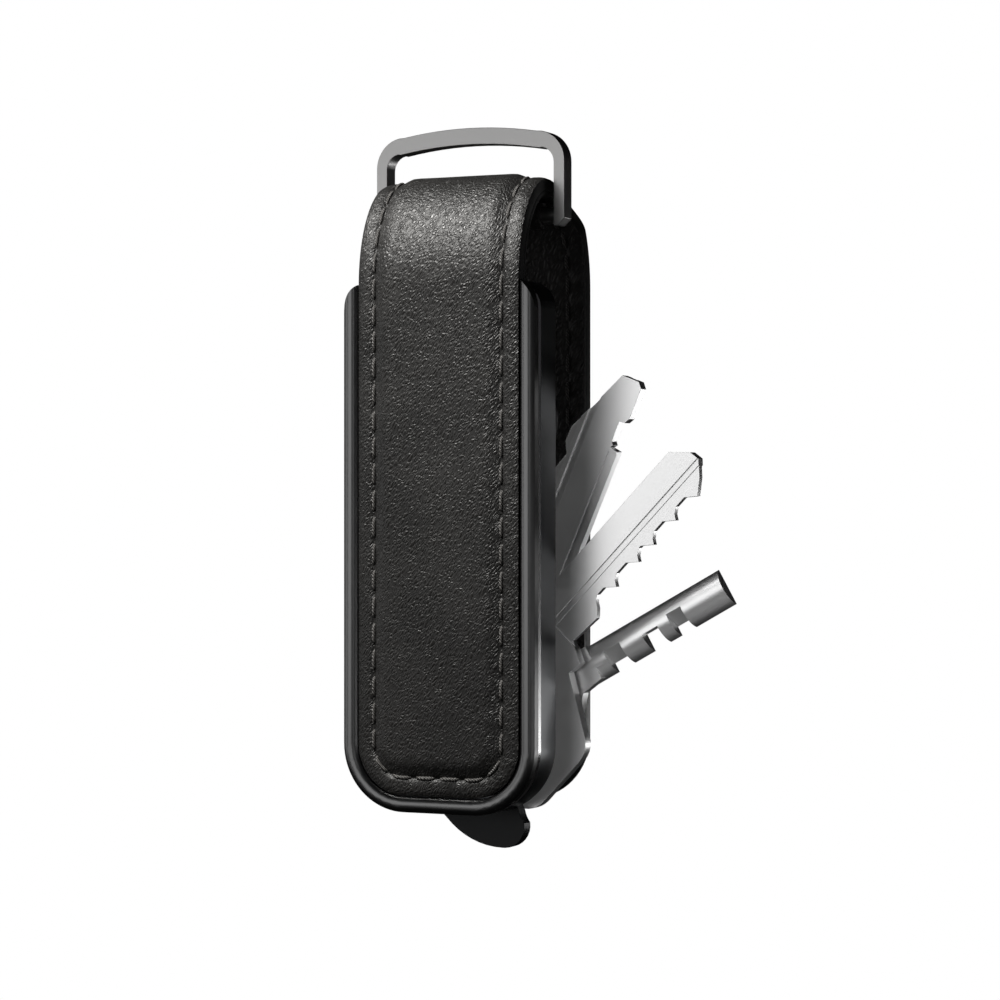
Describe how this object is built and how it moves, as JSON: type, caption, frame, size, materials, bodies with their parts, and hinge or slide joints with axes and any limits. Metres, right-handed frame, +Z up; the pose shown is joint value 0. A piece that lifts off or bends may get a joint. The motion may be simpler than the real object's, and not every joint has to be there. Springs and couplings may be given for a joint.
{
  "type": "key organiser",
  "caption": "Pocket key organiser: keys and an opener turn on one post between a metal-framed leather strap and its back panel, under a hinged carry loop.",
  "frame": {"origin": "the point that hangs on a hook: middle of the underside of the carry loop's top bar", "axes": "+X right, +Y to the back, +Z up, with the organiser hanging from its loop"},
  "size_m": [0.0615, 0.024, 0.1172],
  "materials": {
    "loop_metal": "fine satin gunmetal",
    "outer_leather": "black, fine pebbled grain",
    "lining_leather": "black, soft grain",
    "padding": "felt",
    "thread": "waxed black thread",
    "plate_steel": "plain",
    "bezel_metal": "satin gunmetal",
    "tray_metal": "dark satin with a polished chamfer",
    "cover_metal": "dark satin",
    "screw_steel": "satin",
    "washer_plastic": "plain",
    "opener_steel": "black satin",
    "key_nickel": "nickel plate, rolled and cut faces"
  },
  "bodies": {
    "carry_loop": {"carry_loop": "loop_metal"},
    "case": {"loop_keeper": "lining_leather", "strap_leather": "outer_leather", "strap_padding": "padding", "strap_lining": "lining_leather", "back_plate": "plate_steel", "front_stitching": "thread", "back_stitching": "thread", "front_bezel": "bezel_metal", "front_tray": "tray_metal", "tray_cover": "cover_metal", "bezel_screws": "screw_steel", "post_barrel": "screw_steel", "post_screw": "screw_steel", "front_washer": "washer_plastic", "opener_washer": "washer_plastic", "toothed_washer": "washer_plastic", "round_washer": "washer_plastic", "back_washer": "washer_plastic"},
    "opener": {"flip_opener": "opener_steel"},
    "toothed_key": {"toothed_key": "key_nickel"},
    "half_round_key": {"half_round_key": "key_nickel"},
    "grooved_key": {"grooved_key": "key_nickel"}
  },
  "joints": [
    {"name": "loop_hinge", "type": "hinge", "parent": "carry_loop", "child": "case", "pos_m": [0, 0, -0.0121], "axis": [1, 0, 0], "range_deg": [-80, 30]},
    {"name": "opener_hinge", "type": "hinge", "parent": "case", "child": "opener", "pos_m": [0, 0, -0.0965], "axis": [0, 1, 0], "range_deg": [0, 150]},
    {"name": "toothed_key_hinge", "type": "hinge", "parent": "case", "child": "toothed_key", "pos_m": [0, 0, -0.0965], "axis": [0, 1, 0], "range_deg": [-43.8, 136.2]},
    {"name": "half_round_key_hinge", "type": "hinge", "parent": "case", "child": "half_round_key", "pos_m": [0, 0, -0.0965], "axis": [0, 1, 0], "range_deg": [-60.7, 119.3]},
    {"name": "grooved_key_hinge", "type": "hinge", "parent": "case", "child": "grooved_key", "pos_m": [0, 0, -0.0965], "axis": [0, 1, 0], "range_deg": [-23.2, 156.8]}
  ]
}
